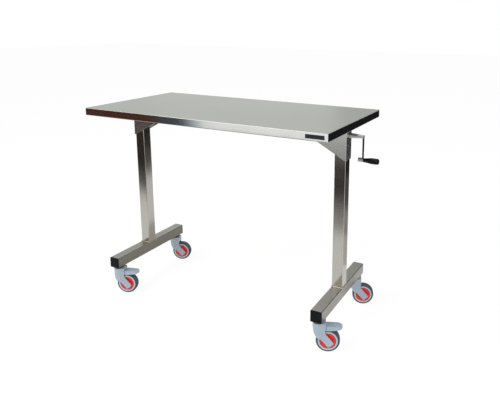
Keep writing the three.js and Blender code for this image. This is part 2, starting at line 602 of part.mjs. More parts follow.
// Side view of the housing: a round head that narrows into an arm over the axle.
function forkProfile() {
  const head = CASTER_HEAD_DIAMETER / 2;
  const half = FORK_ARM_WIDTH / 2;
  const slope = Math.atan2(CASTER_HEAD_BOTTOM - AXLE_HEIGHT - half, CASTER_TRAIL);
  const along = new THREE.Vector2(Math.cos(slope), -Math.sin(slope));
  const across = new THREE.Vector2(Math.sin(slope), Math.cos(slope));
  const end = new THREE.Vector2(CASTER_TRAIL, AXLE_HEIGHT).addScaledVector(along, FORK_ARM_PAST_AXLE);
  const corner = (side, back) => end.clone()
    .addScaledVector(across, side * half)
    .addScaledVector(along, -back);
  const upper = corner(1, 0);
  const lower = corner(-1, 0);
  const shape = new THREE.Shape();
  shape.moveTo(-head, CASTER_HEAD_TOP);
  shape.lineTo(head, CASTER_HEAD_TOP);
  shape.lineTo(head, CASTER_HEAD_BOTTOM);
  const throat = corner(1, FORK_ARM_PAST_AXLE + FORK_ARM_WIDTH);
  shape.quadraticCurveTo(FORK_THROAT_SHARE * head, throat.y + FORK_THROAT_RISE, throat.x, throat.y);
  shape.lineTo(...corner(1, FORK_END_ROUND).toArray());
  const turn = upper.clone().addScaledVector(across, -FORK_END_ROUND);
  shape.quadraticCurveTo(upper.x, upper.y, turn.x, turn.y);
  shape.lineTo(...lower.clone().addScaledVector(across, FORK_END_ROUND).toArray());
  shape.quadraticCurveTo(lower.x, lower.y, ...corner(-1, FORK_END_ROUND).toArray());
  shape.lineTo(...corner(-1, FORK_ARM_PAST_AXLE + FORK_ARM_WIDTH).toArray());
  const back = [-FORK_BACK_SHARE * head, AXLE_HEIGHT + half];
  shape.quadraticCurveTo(...back, -head, CASTER_HEAD_BOTTOM + FORK_BACK_RISE);
  shape.closePath();
  return shape;
}

function casterFork(braked) {
  const head = CASTER_HEAD_DIAMETER / 2;
  const half = FORK_WIDTH / 2;
  const reach = CASTER_TRAIL + WHEEL_DIAMETER;
  const side = plateAcrossY(forkProfile(), -head, head, 3);
  const round = bar('z', CASTER_HEAD_DIAMETER, 0, FOOT_CLEARANCE, HEAD_FACETS);
  const straight = block([0, -half, 0], [reach, half, FOOT_CLEARANCE]);
  const roomDiameter = WHEEL_DIAMETER + 2 * WHEEL_ROOM;
  const wheelRoom = bar('y', roomDiameter, -FORK_INNER_HALF, FORK_INNER_HALF, HEAD_FACETS);
  wheelRoom.translate(CASTER_TRAIL, 0, AXLE_HEIGHT);
  const pinBore = bar('z', STEM_PIN_DIAMETER, CASTER_HEAD_BOTTOM + STEM_PIN_FLOOR, FOOT_CLEARANCE);
  const blind = half - FORK_SKIN;
  const axleBore = bar('y', WHEEL_HUB_BORE + 2 * SEAT_GAP, -blind, blind, SMALL_FACETS);
  axleBore.translate(CASTER_TRAIL, 0, AXLE_HEIGHT);
  const fork = cut(common(side, join(round, straight)), wheelRoom, pinBore, axleBore);
  if (!braked) return fork;
  const slot = block(
    [PEDAL_PIVOT_OUT - PEDAL_HEEL - PEDAL_SLOT_ROOM, -FORK_INNER_HALF, AXLE_HEIGHT],
    [reach, FORK_INNER_HALF, PEDAL_TOP + PEDAL_SLOT_ROOM],
  );
  const pivotBore = bar('y', PEDAL_PIVOT_DIAMETER + 2 * RUNNING_GAP, -blind, blind, SMALL_FACETS);
  pivotBore.translate(PEDAL_PIVOT_OUT, 0, PEDAL_PIVOT_HEIGHT);
  return cut(fork, slot, pivotBore);
}

function wheelTyre() {
  const half = WHEEL_WIDTH / 2;
  const outer = AXLE_HEIGHT / Math.cos(Math.PI / WHEEL_FACETS);
  const base = TYRE_BASE_DIAMETER / 2 + SEAT_GAP;
  const shoulder = [0, Math.PI / 4, Math.PI / 2].map((angle) => [
    outer - TYRE_SHOULDER * (1 - Math.sin(angle)),
    half - TYRE_SHOULDER * (1 - Math.cos(angle)),
  ]);
  const near = shoulder.map(([radius, along]) => [radius, -along]);
  const profile = [[base, -half], ...near, ...shoulder.reverse(), [base, half], [base, -half]];
  return turned(profile, WHEEL_FACETS, Math.PI / WHEEL_FACETS);
}

function wheelRing() {
  const half = WHEEL_WIDTH / 2;
  const outer = TYRE_BASE_DIAMETER / 2;
  const inner = WHEEL_DISC_DIAMETER / 2 + SEAT_GAP;
  return turned([[inner, -half], [outer, -half], [outer, half], [inner, half], [inner, -half]],
    WHEEL_FACETS, Math.PI / WHEEL_FACETS);
}

function wheelDisc() {
  const end = WHEEL_WIDTH / 2 + WHEEL_HUB_PROUD;
  const face = WHEEL_WIDTH / 2 - WHEEL_DISC_RECESS;
  const bore = WHEEL_HUB_BORE / 2 + RUNNING_GAP;
  const rim = WHEEL_DISC_DIAMETER / 2;
  const hub = WHEEL_HUB_BORE;
  const root = hub + WHEEL_HUB_FILLET;
  return turned([
    [bore, -end], [hub, -end], [root, -face], [rim, -face],
    [rim, face], [root, face], [hub, end], [bore, end], [bore, -end],
  ], WHEEL_FACETS, Math.PI / WHEEL_FACETS);
}

// Brake pedal: a hollow tongue that leaves the housing level and thins to its tip, with a shoe over the tyre.
function brakePedal() {
  const neck = FORK_INNER_HALF - RUNNING_GAP;
  const half = PEDAL_WIDTH / 2;
  const start = PEDAL_PIVOT_OUT - PEDAL_HEEL;
  const shoulder = CASTER_HEAD_DIAMETER / 2 + PEDAL_SHOULDER;
  const flare = half - neck;
  const end = start + PEDAL_LENGTH;
  const plan = (inset, heel) => {
    const shape = new THREE.Shape();
    shape.moveTo(heel, -neck + inset);
    shape.lineTo(shoulder, -neck + inset);
    shape.lineTo(shoulder + flare, -half + inset);
    shape.lineTo(end - half, -half + inset);
    shape.absarc(end - half, 0, half - inset, -Math.PI / 2, Math.PI / 2);
    shape.lineTo(shoulder + flare, half - inset);
    shape.lineTo(shoulder, neck - inset);
    shape.lineTo(heel, neck - inset);
    shape.closePath();
    return new THREE.ExtrudeGeometry(shape, { depth: FOOT_CLEARANCE, bevelEnabled: false, curveSegments: 8 });
  };
  const side = (wall, underRoot, underTip) => {
    const tip = PEDAL_TOP - PEDAL_FALL;
    const shape = new THREE.Shape();
    shape.moveTo(start - OVERSHOOT, PEDAL_TOP - wall);
    shape.quadraticCurveTo((shoulder + end) / 2, PEDAL_TOP - wall, end + OVERSHOOT, tip - wall);
    shape.lineTo(end + OVERSHOOT, underTip);
    shape.quadraticCurveTo((shoulder + end) / 2, underRoot, start - OVERSHOOT, underRoot);
    shape.closePath();
    return plateAcrossY(shape, -half, half);
  };
  const tipUnder = PEDAL_TOP - PEDAL_FALL - PEDAL_TIP_DEPTH;
  const outside = common(plan(0, start), side(0, PEDAL_TOP - PEDAL_ROOT_DEPTH, tipUnder));
  const inside = common(plan(PEDAL_WALL, start - OVERSHOOT), side(PEDAL_WALL, 0, 0));
  const pinEnd = FORK_WIDTH / 2 - FORK_SKIN - SEAT_GAP;
  const pivot = bar('y', PEDAL_PIVOT_DIAMETER, -pinEnd, pinEnd, SMALL_FACETS);
  pivot.translate(PEDAL_PIVOT_OUT, 0, PEDAL_PIVOT_HEIGHT);
  const shoeHalf = neck - PEDAL_WALL + OVERSHOOT;
  const shoe = block(
    [CASTER_TRAIL - BRAKE_SHOE_LENGTH / 2, -shoeHalf, AXLE_HEIGHT + WHEEL_DIAMETER / 2 + BRAKE_SHOE_GAP],
    [CASTER_TRAIL + BRAKE_SHOE_LENGTH / 2, shoeHalf, PEDAL_TOP - PEDAL_WALL / 2],
  );
  return join(cut(outside, inside), pivot, shoe);
}

function caster(name, x, y, braked) {
  const group = new THREE.Group();
  group.position.set(x, y, 0);
  group.rotation.z = CASTER_TRAIL_ANGLE;
  table.add(group);
  place(group, `${name}_caster_stem`, casterStem(), darkSteel);
  place(group, `${name}_caster_fork`, casterFork(braked), casterGrey);
  const axleEnd = FORK_WIDTH / 2 - FORK_SKIN - SEAT_GAP;
  const axle = bar('y', WHEEL_HUB_BORE, -axleEnd, axleEnd, SMALL_FACETS);
  const wheelPlace = [CASTER_TRAIL, 0, AXLE_HEIGHT];
  place(group, `${name}_wheel_axle`, axle.translate(...wheelPlace), darkSteel);
  place(group, `${name}_wheel_disc`, wheelDisc().translate(...wheelPlace), discRed);
  place(group, `${name}_wheel_ring`, wheelRing().translate(...wheelPlace), rimGrey);
  place(group, `${name}_tyre`, wheelTyre().translate(...wheelPlace), tyreGrey);
  if (braked) place(group, `${name}_brake_pedal`, brakePedal(), casterGrey);
}

place(table, 'tabletop_sheet', tabletopSheet(), satinSteel);
place(table, 'core_board', coreBoard(), boardBrown);
leg('left', -1);
leg('right', 1);
drive();
for (const [side, outward] of [['left', -1], ['right', 1]]) {
  const casterX = (outward * COLUMN_SPACING) / 2;
  caster(`${side}_front`, casterX, -CASTER_Y, true);
  caster(`${side}_rear`, casterX, CASTER_Y, false);
}

// The origin lies on the floor under the middle of the whole outline, crank included.
table.position.x = -(GRIP_END - TOP_LENGTH / 2) / 2;

export default table;
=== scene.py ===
"""Veterinary exam table: the finish of every surface, its small fittings and the studio round it."""
import json
import logging
import math
from dataclasses import dataclass
from enum import Enum
from functools import cache
from typing import Callable, Sequence

import bpy
from mathutils import Matrix, Vector

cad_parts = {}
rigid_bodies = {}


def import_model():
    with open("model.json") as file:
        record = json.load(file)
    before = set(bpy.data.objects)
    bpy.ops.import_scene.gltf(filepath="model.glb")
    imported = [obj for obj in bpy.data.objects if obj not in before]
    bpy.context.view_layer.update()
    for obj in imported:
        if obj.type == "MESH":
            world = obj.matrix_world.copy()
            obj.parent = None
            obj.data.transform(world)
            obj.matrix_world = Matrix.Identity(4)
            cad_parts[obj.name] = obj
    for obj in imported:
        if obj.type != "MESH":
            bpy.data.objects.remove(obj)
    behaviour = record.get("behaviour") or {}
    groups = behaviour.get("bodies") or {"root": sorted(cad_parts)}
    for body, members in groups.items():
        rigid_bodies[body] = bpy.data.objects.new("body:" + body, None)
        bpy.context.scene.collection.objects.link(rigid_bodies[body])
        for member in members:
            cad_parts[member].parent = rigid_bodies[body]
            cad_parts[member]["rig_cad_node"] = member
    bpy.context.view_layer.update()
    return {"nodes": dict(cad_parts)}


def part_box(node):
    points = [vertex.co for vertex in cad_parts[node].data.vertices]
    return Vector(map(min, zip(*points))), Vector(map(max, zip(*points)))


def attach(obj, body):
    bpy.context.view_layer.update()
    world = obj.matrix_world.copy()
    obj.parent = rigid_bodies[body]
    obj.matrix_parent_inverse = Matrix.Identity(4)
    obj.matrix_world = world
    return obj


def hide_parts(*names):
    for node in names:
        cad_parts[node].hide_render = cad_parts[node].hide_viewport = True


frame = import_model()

LOG = logging.getLogger("exam_table")
MM = 0.001
SIDES = ("left", "right")
ENDS = ("front", "rear")
SMOOTH_ANGLE = math.radians(32)
FLAT_ANGLE = math.radians(0.5)
MERGE_DISTANCE = 0.005 * MM
SPIN_MERGE_DISTANCE = 0.001 * MM
TURN_STEPS = 72
FACING = 0.9
CARD_LIFT = 4 * MM

Point = tuple[float, float, float]
Colour = tuple[float, float, float]
Profile = list[tuple[float, float]]


class Run(Enum):
    """The way a brushed grain runs, as the share of its scale kept along X, Y and Z."""

    ALONG_X = (0.012, 1.0, 1.0)
    ALONG_Y = (1.0, 0.012, 1.0)
    ALONG_Z = (1.0, 1.0, 0.012)
    ACROSS_FOOT = (0.02, 1.0, 0.02)
    CLOUDED = (1.0, 1.0, 1.0)


def linear(colour: str) -> Colour:
    """Turn a colour written as six hex digits into linear light.

    Args:
        colour: Red, green and blue as hex digits.

    Returns:
        The three channels in linear light.
    """
    def channel(value: float) -> float:
        """Undo the display curve of one channel."""
        return value / 12.92 if value <= 0.04045 else ((value + 0.055) / 1.055) ** 2.4

    return tuple(channel(int(colour[i:i + 2], 16) / 255) for i in (0, 2, 4))


def operation(tree: bpy.types.NodeTree, name: str, kind: str = "ShaderNodeMath") -> bpy.types.Node:
    """Add a node that works out one operation.

    Args:
        tree: The node tree to add it to.
        name: The operation.
        kind: The type of node, for plain values or for vectors.

    Returns:
        The new node.
    """
    node = tree.nodes.new(kind)
    node.operation = name
    return node


class Effects:
    """Shader node groups that more than one finish uses, each built once."""

    @staticmethod
    def _group(
        name: str, inputs: dict[str, float | Point], outputs: Sequence[str],
    ) -> tuple[bpy.types.NodeTree, bpy.types.Node, bpy.types.Node]:
        """Make an empty node group with its sockets.

        Args:
            name: The group's name.
            inputs: Each input's name and starting value.
            outputs: The names of its outputs, all plain values.

        Returns:
            The group, its input node and its output node.
        """
        group = bpy.data.node_groups.new(name, "ShaderNodeTree")
        for title, start in inputs.items():
            kind = "NodeSocketVector" if isinstance(start, tuple) else "NodeSocketFloat"
            socket = group.interface.new_socket(title, in_out="INPUT", socket_type=kind)
            socket.default_value = start
        for title in outputs:
            group.interface.new_socket(title, in_out="OUTPUT", socket_type="NodeSocketFloat")
        return group, group.nodes.new("NodeGroupInput"), group.nodes.new("NodeGroupOutput")

    @staticmethod
    @cache
    def grain() -> bpy.types.NodeTree:
        """Streaks of a brushed or sanded surface, stretched along its run.

        Returns:
            The group, with the outputs Streaks and Clouds.
        """
        start = {"Scale": 900.0, "Run": (1.0, 1.0, 1.0), "Cloud Scale": 5.0}
        group, source, result = Effects._group("grain", start, ("Streaks", "Clouds"))
        nodes, links = group.nodes, group.links
        place = nodes.new("ShaderNodeTexCoord")
        stretch = operation(group, "MULTIPLY", "ShaderNodeVectorMath")
        streaks = nodes.new("ShaderNodeTexNoise")
        streaks.inputs["Detail"].default_value = 4.0
        streaks.inputs["Roughness"].default_value = 0.65
        clouds = nodes.new("ShaderNodeTexNoise")
        clouds.inputs["Detail"].default_value = 3.0
        links.new(place.outputs["Object"], stretch.inputs[0])
        links.new(source.outputs["Run"], stretch.inputs[1])
        links.new(stretch.outputs[0], streaks.inputs["Vector"])
        links.new(source.outputs["Scale"], streaks.inputs["Scale"])
        links.new(place.outputs["Object"], clouds.inputs["Vector"])
        links.new(source.outputs["Cloud Scale"], clouds.inputs["Scale"])
        links.new(streaks.outputs["Fac"], result.inputs["Streaks"])
        links.new(clouds.outputs["Fac"], result.inputs["Clouds"])
        return group

    @staticmethod
    @cache
    def edge_wear() -> bpy.types.NodeTree:
        """A mask along outer edges, broken up by a noise.

        Returns:
            The group, with the output Mask.
        """
        start = {"Radius": 1.5 * MM, "Break Up": 260.0}
        group, source, result = Effects._group("edge_wear", start, ("Mask",))
        nodes, links = group.nodes, group.links
        rounded = nodes.new("ShaderNodeBevel")
        rounded.samples = 4
        shape = nodes.new("ShaderNodeNewGeometry")
        apart = operation(group, "DISTANCE", "ShaderNodeVectorMath")
        place = nodes.new("ShaderNodeTexCoord")
        noise = nodes.new("ShaderNodeTexNoise")
        worn = operation(group, "MULTIPLY")
        worn.use_clamp = True
        links.new(source.outputs["Radius"], rounded.inputs["Radius"])
        links.new(rounded.outputs["Normal"], apart.inputs[0])
        links.new(shape.outputs["Normal"], apart.inputs[1])
        links.new(place.outputs["Object"], noise.inputs["Vector"])
        links.new(source.outputs["Break Up"], noise.inputs["Scale"])
        links.new(apart.outputs["Value"], worn.inputs[0])
        links.new(noise.outputs["Fac"], worn.inputs[1])
        links.new(worn.outputs["Value"], result.inputs["Mask"])
        return group

    @staticmethod
    @cache
    def heat_band() -> bpy.types.NodeTree:
        """A band at one height, where welding has coloured the steel.

        Returns:
            The group, with the output Mask.
        """
        group, source, result = Effects._group("heat_band", {"Height": 0.2, "Spread": 0.04}, ("Mask",))
        nodes, links = group.nodes, group.links
        place = nodes.new("ShaderNodeTexCoord")
        split = nodes.new("ShaderNodeSeparateXYZ")
        noise = nodes.new("ShaderNodeTexNoise")
        noise.inputs["Scale"].default_value = 22.0
        away = operation(group, "SUBTRACT")
        share = operation(group, "DIVIDE")
        far = operation(group, "ABSOLUTE")
        fade = nodes.new("ShaderNodeMapRange")
        fade.interpolation_type = "SMOOTHSTEP"
        fade.inputs["To Min"].default_value = 1.0
        fade.inputs["To Max"].default_value = 0.0
        uneven = operation(group, "MULTIPLY")
        links.new(place.outputs["Object"], split.inputs[0])
        links.new(place.outputs["Object"], noise.inputs["Vector"])
        links.new(split.outputs["Z"], away.inputs[0])
        links.new(source.outputs["Height"], away.inputs[1])
        links.new(away.outputs["Value"], share.inputs[0])
        links.new(source.outputs["Spread"], share.inputs[1])
        links.new(share.outputs["Value"], far.inputs[0])
        links.new(far.outputs["Value"], fade.inputs["Value"])
        links.new(fade.outputs["Result"], uneven.inputs[0])
        links.new(noise.outputs["Fac"], uneven.inputs[1])
        links.new(uneven.outputs["Value"], result.inputs["Mask"])
        return group


class MaterialBench:
    """One material while it is being built: its shader and the effects wired into it."""

    def __init__(self, name: str) -> None:
        """Start a material with a bare shader.

        Args:
            name: The material's name.
        """
        self.material = bpy.data.materials.new(name)
        self.material.use_nodes = True
        self.nodes = self.material.node_tree.nodes
        self.links = self.material.node_tree.links
        self.shader = self.nodes["Principled BSDF"]

    def effect(self, group: bpy.types.NodeTree, **values: float | Point) -> bpy.types.Node:
        """Place a node group.

        Args:
            group: The effect's node group.
            **values: Its inputs, with underscores for spaces.

        Returns:
            The group's node.
        """
        node = self.nodes.new("ShaderNodeGroup")
        node.node_tree = group
        for title, value in values.items():
            node.inputs[title.replace("_", " ")].default_value = value
        return node

    def spread(self, value: bpy.types.NodeSocket, low: float, high: float,
               start: float = 0.3, end: float = 0.7) -> bpy.types.NodeSocket:
        """Map a mask from one range to another.

        Args:
            value: The mask.
            low: Result where the mask is at start.
            high: Result where the mask is at end.
            start: Lower end of the mask's range.
            end: Upper end of the mask's range.

        Returns:
            The mapped value's socket.
        """
        node = self.nodes.new("ShaderNodeMapRange")
        for title, number in (("From Min", start), ("From Max", end), ("To Min", low), ("To Max", high)):
            node.inputs[title].default_value = number
        self.links.new(value, node.inputs["Value"])
        return node.outputs["Result"]

    def mix(self, share: bpy.types.NodeSocket, first: Colour | bpy.types.NodeSocket,
            second: Colour | bpy.types.NodeSocket) -> bpy.types.NodeSocket:
        """Mix two colours by a mask.

        Args:
            share: The mask, 0 for the first colour and 1 for the second.
            first: A colour or a socket.
            second: A colour or a socket.

        Returns:
            The mixed colour's socket.
        """
        node = self.nodes.new("ShaderNodeMix")
        node.data_type = "RGBA"
        self.links.new(share, node.inputs["Factor"])
        for socket, colour in ((node.inputs[6], first), (node.inputs[7], second)):
            if isinstance(colour, bpy.types.NodeSocket):
                self.links.new(colour, socket)
            else:
                socket.default_value = (*colour, 1.0)
        return node.outputs[2]

    def feed(self, title: str, value: bpy.types.NodeSocket) -> None:
        """Wire a socket into the shader's input of that name."""
        self.links.new(value, self.shader.inputs[title])

    def emboss(self, height: bpy.types.NodeSocket, strength: float, depth: float) -> None:
        """Wire a height into the shader's normal.

        Args:
            height: The height's socket.
            strength: How much of it shows, 0 to 1.
            depth: Its depth in metres.
        """
        bump = self.nodes.new("ShaderNodeBump")
        bump.inputs["Strength"].default_value = strength
        bump.inputs["Distance"].default_value = depth
        self.links.new(height, bump.inputs["Height"])
        self.links.new(bump.outputs["Normal"], self.shader.inputs["Normal"])


@dataclass(frozen=True)
class SteelFinish:
    """A bare metal, brushed or polished, with clouds of handling marks."""

    name: str
    light: str
    dark: str
    roughness: float
    run: Run
    scale: float = 900.0
    relief: float = 0.12
    grain_depth: float = 0.05 * MM
    roughness_spread: float = 0.08
    cloud_scale: float = 5.0
    heat_height: float = 0.0
    heat_spread: float = 0.04
    heat_range: tuple[float, float] = (0.05, 0.5)
    heat_colour: str = "B9B1A0"

    def material(self) -> bpy.types.Material:
        """Build the finish's material.

        Returns:
            The material.
        """
        bench = MaterialBench(self.name)
        grain = bench.effect(Effects.grain(), Scale=self.scale, Run=self.run.value,
                             Cloud_Scale=self.cloud_scale)
        streaks, clouds = grain.outputs["Streaks"], grain.outputs["Clouds"]
        colour = bench.mix(bench.spread(streaks, 0.0, 1.0), linear(self.dark), linear(self.light))
        if self.heat_height:
            heat = bench.effect(Effects.heat_band(), Height=self.heat_height, Spread=self.heat_spread)
            share = bench.spread(heat.outputs["Mask"], 0.0, 1.0, *self.heat_range)
            colour = bench.mix(share, colour, linear(self.heat_colour))
        bench.feed("Base Color", colour)
        low = self.roughness - self.roughness_spread
        high = self.roughness + self.roughness_spread
        bench.feed("Roughness", bench.spread(clouds, low, high))
        bench.shader.inputs["Metallic"].default_value = 1.0
        bench.emboss(streaks, self.relief, self.grain_depth)
        return bench.material


@dataclass(frozen=True)
class MouldedFinish:
    """A moulded plastic or rubber, with a fine grain, dust and paler worn edges."""

    name: str
    colour: str
    dusty: str
    worn: str
    roughness: float
    grain: float = 1400.0
    relief: float = 0.15
    grain_depth: float = 0.06 * MM
    specular: float = 0.5
    cloud_scale: float = 30.0
    smoother: float = 0.06
    rougher: float = 0.08
    dust_share: float = 0.6
    dust_range: tuple[float, float] = (0.45, 0.75)
    wear_share: float = 0.7
    wear_range: tuple[float, float] = (0.05, 0.5)

    def material(self) -> bpy.types.Material:
        """Build the finish's material.

        Returns:
            The material.
        """
        bench = MaterialBench(self.name)
        grain = bench.effect(Effects.grain(), Scale=self.grain, Run=Run.CLOUDED.value,
                             Cloud_Scale=self.cloud_scale)
        streaks, clouds = grain.outputs["Streaks"], grain.outputs["Clouds"]
        wear = bench.effect(Effects.edge_wear())
        dust = bench.spread(clouds, 0.0, self.dust_share, *self.dust_range)
        base = bench.mix(dust, linear(self.colour), linear(self.dusty))
        edges = bench.spread(wear.outputs["Mask"], 0.0, self.wear_share, *self.wear_range)
        bench.feed("Base Color", bench.mix(edges, base, linear(self.worn)))
        low = self.roughness - self.smoother
        high = self.roughness + self.rougher
        bench.feed("Roughness", bench.spread(clouds, low, high))
        bench.shader.inputs["Specular IOR Level"].default_value = self.specular
        bench.emboss(streaks, self.relief, self.grain_depth)
        return bench.material


FOOT_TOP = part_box("left_foot_tube")[1][2]

STEELS = (
    SteelFinish("satin_top", "A6A9A1", "9A9D96", 0.36, Run.ALONG_X, scale=1500.0, relief=0.10,
                roughness_spread=0.02, cloud_scale=2.0),
    SteelFinish("polished_rim", "E4E4E2", "DADAD8", 0.11, Run.ALONG_X, relief=0.03,
                roughness_spread=0.03),
    SteelFinish("folded_bracket", "DEDFDD", "D2D3D0", 0.26, Run.ALONG_X, relief=0.02,
                roughness_spread=0.04),
    SteelFinish("column_steel", "B9B6AF", "ACA9A2", 0.16, Run.ALONG_Z, relief=0.06, roughness_spread=0.04,
                heat_height=FOOT_TOP, heat_spread=0.035),
    SteelFinish("foot_steel", "98978F", "84837B", 0.32, Run.ACROSS_FOOT, scale=700.0, relief=0.2),
    # A darker copy of the foot steel: painted shade on the foot tubes' rounded long edges
    SteelFinish("foot_bend_painted_shade", "63625D", "57564F", 0.22, Run.ALONG_Y, relief=0.05),
    SteelFinish("chrome", "B4B6B8", "A8AAAC", 0.08, Run.CLOUDED, relief=0.01, roughness_spread=0.03),
    # A darker copy of chrome: painted dark reflection on the crank arm's bar
    SteelFinish("chrome_painted_dark_reflection", "4A4C4E", "3E4042", 0.12, Run.CLOUDED, relief=0.01, roughness_spread=0.03),
    SteelFinish("drive_steel", "6A6D70", "55585B", 0.4, Run.CLOUDED, scale=500.0),
    SteelFinish("caster_stem_steel", "3A3E42", "2B2E32", 0.35, Run.CLOUDED, scale=500.0),
    SteelFinish("bronze", "B4843F", "94682F", 0.35, Run.CLOUDED, scale=400.0),
    SteelFinish("cast_aluminium", "A4A7A9", "8B8E90", 0.55, Run.CLOUDED, scale=350.0, relief=0.4),
    SteelFinish("weld_bead", "B0ADA4", "98948A", 0.34, Run.CLOUDED, scale=260.0, relief=0.5,
                heat_height=FOOT_TOP, heat_spread=0.02, heat_colour="ADA594"),
)

MOULDED = (
    MouldedFinish("black_cap", "0A0E12", "0E1318", "1A2026", 0.45, specular=0.10),
    MouldedFinish("grip_black", "07090B", "0A0C0F", "12161A", 0.24, relief=0.05, specular=0.15),
    MouldedFinish("glide_white", "D8D8D2", "C9C9C2", "E2E2DE", 0.45),
    MouldedFinish("caster_grey", "A9B9C5", "9FAFBA", "B9C7D1", 0.40),
    MouldedFinish("ring_grey", "B9D0D5", "AEC5CA", "C9DDE1", 0.36),
    MouldedFinish("disc_red", "E6242E", "DC232C", "EA3640", 0.36),
    MouldedFinish("tyre_rubber", "37434B", "414D55", "4A565E", 0.55, relief=0.3),
    MouldedFinish("core_board", "93795A", "7F684C", "A58B6B", 0.75, grain=300.0, relief=0.5),
    MouldedFinish("bare_plate", "1C2024", "22262A", "30353A", 0.40, relief=0.05, specular=0.3),
)

FINISHES = {finish.name: finish.material() for finish in (*STEELS, *MOULDED)}


class Bench:
    """The modelling operators, as they are used by hand."""

    @staticmethod
    def clear() -> None:
        """Leave edit mode and deselect everything."""
        if bpy.context.object and bpy.context.object.mode != "OBJECT":
            bpy.ops.object.mode_set(mode="OBJECT")
        bpy.ops.object.select_all(action="DESELECT")

    @staticmethod
    def take(piece: bpy.types.Object) -> None:
        """Select one piece alone and make it active.

        Args:
            piece: The piece to work on.
        """
        Bench.clear()
        piece.select_set(True)
        bpy.context.view_layer.objects.active = piece

    @staticmethod
    def block(name: str, low: Sequence[float], high: Sequence[float]) -> bpy.types.Object:
        """Add a cube between two corners, with its place in its mesh.

        Args:
            name: The piece's name.
            low: Its lowest corner, in metres.
            high: Its highest corner, in metres.

        Returns:
            The new piece, active and selected.
        """
        Bench.clear()
        middle = [(a + b) / 2 for a, b in zip(low, high)]
        bpy.ops.mesh.primitive_cube_add(size=1.0, location=middle)
        piece = bpy.context.object
        piece.name = name
        piece.scale = [b - a for a, b in zip(low, high)]
        bpy.ops.object.transform_apply(location=True, rotation=True, scale=True)
        return piece

    @staticmethod
    def pick(piece: bpy.types.Object, kind: str, test: Callable[..., bool]) -> None:
        """Go into edit mode with only some faces or edges selected.

        Args:
            piece: The piece that is being shaped.
            kind: FACE or EDGE.
            test: Says of one element whether it is selected.
        """
        Bench.take(piece)
        bpy.ops.object.mode_set(mode="EDIT")
        bpy.ops.mesh.select_mode(type=kind)
        bpy.ops.mesh.select_all(action="DESELECT")
        bpy.ops.object.mode_set(mode="OBJECT")
        elements = {"FACE": piece.data.polygons, "EDGE": piece.data.edges}[kind]
        for element in elements:
            element.select = test(element)
        bpy.ops.object.mode_set(mode="EDIT")

    @staticmethod
    def ends(piece: bpy.types.Object, edge: bpy.types.MeshEdge) -> tuple[Vector, Vector]:
        """Give the two corners of an edge."""
        first, second = edge.vertices
        return piece.data.vertices[first].co, piece.data.vertices[second].co

    @staticmethod
    def done(piece: bpy.types.Object) -> bpy.types.Object:
        """Apply a piece's modifiers and shade its shallow edges smooth, with its large faces kept flat.

        Args:
            piece: The piece that is finished.

        Returns:
            The same piece.
        """
        Bench.take(piece)
        for modifier in list(piece.modifiers):
            bpy.ops.object.modifier_apply(modifier=modifier.name)
        bpy.ops.object.shade_smooth_by_angle(angle=SMOOTH_ANGLE)
        flat = piece.modifiers.new("flat_faces", "WEIGHTED_NORMAL")
        flat.keep_sharp = True
        bpy.ops.object.modifier_apply(modifier=flat.name)
        return piece

    @staticmethod
    def turned(name: str, profile: Profile, steps: int = TURN_STEPS) -> bpy.types.Object:
        """Spin a profile round the Y axis.

        Args:
            name: The piece's name.
            profile: Points as radius and place along the axis, in metres.
            steps: How many steps the turn has.

        Returns:
            The turned piece, round the origin.
        """
        Bench.clear()
        bpy.ops.mesh.primitive_plane_add(size=MM)
        piece = bpy.context.object
        piece.name = name
        bpy.ops.object.mode_set(mode="EDIT")
        bpy.ops.mesh.select_mode(type="VERT")
        bpy.ops.mesh.select_all(action="SELECT")
        bpy.ops.mesh.merge(type="CENTER")
        bpy.ops.transform.translate(value=(profile[0][0], profile[0][1], 0.0))
        for (radius, along), (next_radius, next_along) in zip(profile, profile[1:]):
            step = (next_radius - radius, next_along - along, 0.0)
            bpy.ops.mesh.extrude_region_move(TRANSFORM_OT_translate={"value": step})
        bpy.ops.mesh.select_all(action="SELECT")
        bpy.ops.mesh.spin(steps=steps, angle=2 * math.pi, center=(0, 0, 0), axis=(0, 1, 0))
        bpy.ops.mesh.select_all(action="SELECT")
        bpy.ops.mesh.remove_doubles(threshold=SPIN_MERGE_DISTANCE)
        bpy.ops.mesh.normals_make_consistent(inside=False)
        bpy.ops.object.mode_set(mode="OBJECT")
        return Bench.done(piece)

    @staticmethod
    def move(piece: bpy.types.Object, matrix: Matrix) -> None:
        """Put a piece in its place and apply that place to its mesh.

        Args:
            piece: The piece to move.
            matrix: Its place and turn.
        """
        Bench.take(piece)
        piece.matrix_world = matrix
        bpy.ops.object.transform_apply(location=True, rotation=True, scale=True)

    @staticmethod
    def copy(piece: bpy.types.Object, name: str) -> bpy.types.Object:
        """Copy a piece with a mesh of its own.

        Args:
            piece: The piece to copy.
            name: The copy's name.

        Returns:
            The copy.
        """
        other = piece.copy()
        other.data = piece.data.copy()
        other.name = name
        bpy.context.collection.objects.link(other)
        return other

    @staticmethod
    def refined(node: str, edge: float, segments: int = 2, sharp: float = 35.0) -> bpy.types.Object:
        """Copy a rigid node, merge its corners and round its edges.

        Args:
            node: The node's name.
            edge: How far each edge is rounded, in metres.
            segments: How many faces a rounded edge has.
            sharp: The least angle, in degrees, of an edge that is rounded.

        Returns:
            The copy, which stands for the node.
        """
        piece = Bench.copy(frame["nodes"][node], f"{node}_finished")
        del piece["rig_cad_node"]
        Bench.take(piece)
        bpy.ops.object.mode_set(mode="EDIT")
        bpy.ops.mesh.select_mode(type="FACE")
        bpy.ops.mesh.select_all(action="SELECT")
        bpy.ops.mesh.remove_doubles(threshold=MERGE_DISTANCE)
        bpy.ops.mesh.dissolve_limited(angle_limit=FLAT_ANGLE)
        bpy.ops.object.mode_set(mode="OBJECT")
        rounding = piece.modifiers.new("rounded_edges", "BEVEL")
        rounding.width = edge
        rounding.segments = segments
        rounding.limit_method = "ANGLE"
        rounding.angle_limit = math.radians(sharp)
        Bench.done(piece)
        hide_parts(node)
        return piece


